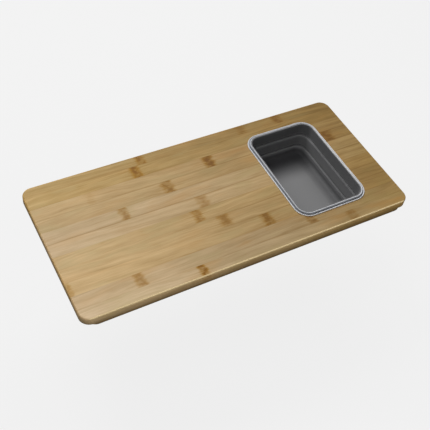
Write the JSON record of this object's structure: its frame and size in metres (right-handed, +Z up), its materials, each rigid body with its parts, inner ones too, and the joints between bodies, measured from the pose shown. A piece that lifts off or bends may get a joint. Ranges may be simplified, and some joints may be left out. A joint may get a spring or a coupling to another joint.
{
  "type": "over-sink cutting board with drop-in tray",
  "caption": "Laminated bamboo cutting board that rests on a sink's ledges, with a rounded cut-out holding a grey collapsible tray that lifts out.",
  "frame": {"origin": "middle of the board in the plane of the two end ledges, on which it rests on a sink", "axes": "+X along the board towards the tray, +Y from the front edge to the back edge, +Z up"},
  "size_m": [0.43, 0.195, 0.0468],
  "materials": {
    "bamboo": "oiled bamboo, satin, lengthwise grain with brown growth nodes",
    "rim_grey": "light grey moulded plastic, satin",
    "silicone_grey": "mid grey food silicone, matte"
  },
  "bodies": {
    "board": {"lower_strip_back_1_left": "bamboo", "lower_strip_back_1_right": "bamboo", "lower_strip_back_2_left": "bamboo", "lower_strip_back_2_right": "bamboo", "lower_strip_back_3_left": "bamboo", "lower_strip_back_3_right": "bamboo", "lower_strip_back_4_beside": "bamboo", "lower_strip_back_4_left": "bamboo", "lower_strip_back_4_right": "bamboo", "lower_strip_back_5": "bamboo", "lower_strip_front_1_left": "bamboo", "lower_strip_front_1_right": "bamboo", "lower_strip_front_2_left": "bamboo", "lower_strip_front_2_right": "bamboo", "lower_strip_front_3_left": "bamboo", "lower_strip_front_3_right": "bamboo", "lower_strip_front_4_beside": "bamboo", "lower_strip_front_4_left": "bamboo", "lower_strip_front_4_right": "bamboo", "lower_strip_front_5": "bamboo", "lower_strip_middle_left": "bamboo", "lower_strip_middle_right": "bamboo", "upper_strip_back_1_left": "bamboo", "upper_strip_back_1_right": "bamboo", "upper_strip_back_2_left": "bamboo", "upper_strip_back_2_right": "bamboo", "upper_strip_back_3_left": "bamboo", "upper_strip_back_3_right": "bamboo", "upper_strip_back_4_beside": "bamboo", "upper_strip_back_4_left": "bamboo", "upper_strip_back_4_right": "bamboo", "upper_strip_back_5": "bamboo", "upper_strip_front_1_left": "bamboo", "upper_strip_front_1_right": "bamboo", "upper_strip_front_2_left": "bamboo", "upper_strip_front_2_right": "bamboo", "upper_strip_front_3_left": "bamboo", "upper_strip_front_3_right": "bamboo", "upper_strip_front_4_beside": "bamboo", "upper_strip_front_4_left": "bamboo", "upper_strip_front_4_right": "bamboo", "upper_strip_front_5": "bamboo", "upper_strip_middle_left": "bamboo", "upper_strip_middle_right": "bamboo"},
    "tray": {"tray_rim": "rim_grey", "tray_wall_upper": "silicone_grey"},
    "middle_band": {"tray_wall_middle": "silicone_grey"},
    "pan": {"tray_pan": "silicone_grey"}
  },
  "joints": [
    {"name": "tray_lift", "type": "slide", "parent": "board", "child": "tray", "axis": [0, 0, 1], "range_m": [0, 0.06]},
    {"name": "upper_fold", "type": "slide", "parent": "tray", "child": "middle_band", "axis": [0, 0, 1], "range_m": [0, 0.0155]},
    {"name": "lower_fold", "type": "slide", "parent": "middle_band", "child": "pan", "axis": [0, 0, 1], "range_m": [0, 0.0155]}
  ],
  "couplings": [
    {"joint": "lower_fold", "follows": "upper_fold", "ratio": 1}
  ]
}
